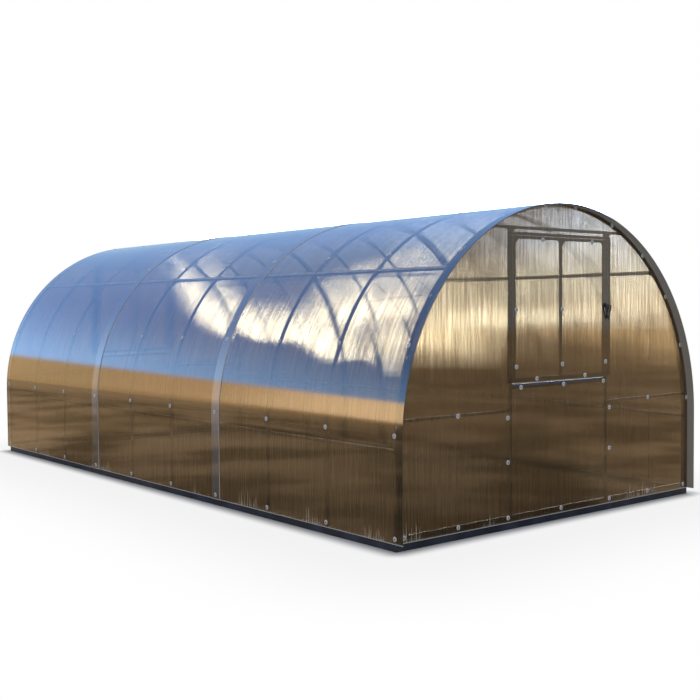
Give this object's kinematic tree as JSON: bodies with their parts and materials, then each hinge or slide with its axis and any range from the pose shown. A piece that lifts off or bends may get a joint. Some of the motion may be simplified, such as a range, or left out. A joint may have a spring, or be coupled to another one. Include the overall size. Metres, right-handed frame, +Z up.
{
  "type": "polycarbonate tunnel greenhouse",
  "caption": "Arched tunnel greenhouse: square steel tube frame on base rails under bent bronze twin-wall sheets, with a vent leaf in each gable.",
  "frame": {"origin": "middle of the ground area, on the ground", "axes": "+Z up, Y along the house with the front gable facing -Y, X across it"},
  "size_m": [3.008, 6.12, 2.1438],
  "materials": {
    "frame_steel": "galvanised square tube, dull blue grey",
    "base_rail": "dark slate paint, satin",
    "roof_sheet": "clear bronze twin-wall polycarbonate, glossy",
    "gable_sheet": "clear bronze twin-wall polycarbonate, glossy",
    "hinge_steel": "galvanised",
    "latch_plastic": "black, satin",
    "washer_plastic": "pale milky plastic",
    "screw_steel": "zinc plated"
  },
  "bodies": {
    "root": {"base_rail_left": "base_rail", "base_rail_right": "base_rail", "base_rail_front": "base_rail", "base_rail_back": "base_rail", "arch_1": "frame_steel", "arch_2": "frame_steel", "arch_3": "frame_steel", "arch_4": "frame_steel", "arch_5": "frame_steel", "arch_6": "frame_steel", "arch_7": "frame_steel", "arch_8": "frame_steel", "arch_9": "frame_steel", "arch_10": "frame_steel", "low_purlin_left": "frame_steel", "low_purlin_right": "frame_steel", "high_purlin_left": "frame_steel", "high_purlin_right": "frame_steel", "purlin_brackets": "frame_steel", "roof_sheet_front": "roof_sheet", "roof_sheet_middle": "roof_sheet", "roof_sheet_back": "roof_sheet", "front_posts": "frame_steel", "front_bottom_bar": "frame_steel", "front_top_bar": "frame_steel", "front_side_bars": "frame_steel", "front_centre_sheet": "gable_sheet", "front_side_sheets": "gable_sheet", "front_vent_sill": "frame_steel", "front_vent_frame": "frame_steel", "front_vent_sheet": "gable_sheet", "front_vent_hinges": "hinge_steel", "front_vent_latch": "latch_plastic", "back_posts": "frame_steel", "back_bottom_bar": "frame_steel", "back_top_bar": "frame_steel", "back_side_bars": "frame_steel", "back_centre_sheet": "gable_sheet", "back_side_sheets": "gable_sheet", "back_vent_sill": "frame_steel", "back_vent_frame": "frame_steel", "back_vent_sheet": "gable_sheet", "back_vent_hinges": "hinge_steel", "back_vent_latch": "latch_plastic"}
  },
  "joints": []
}
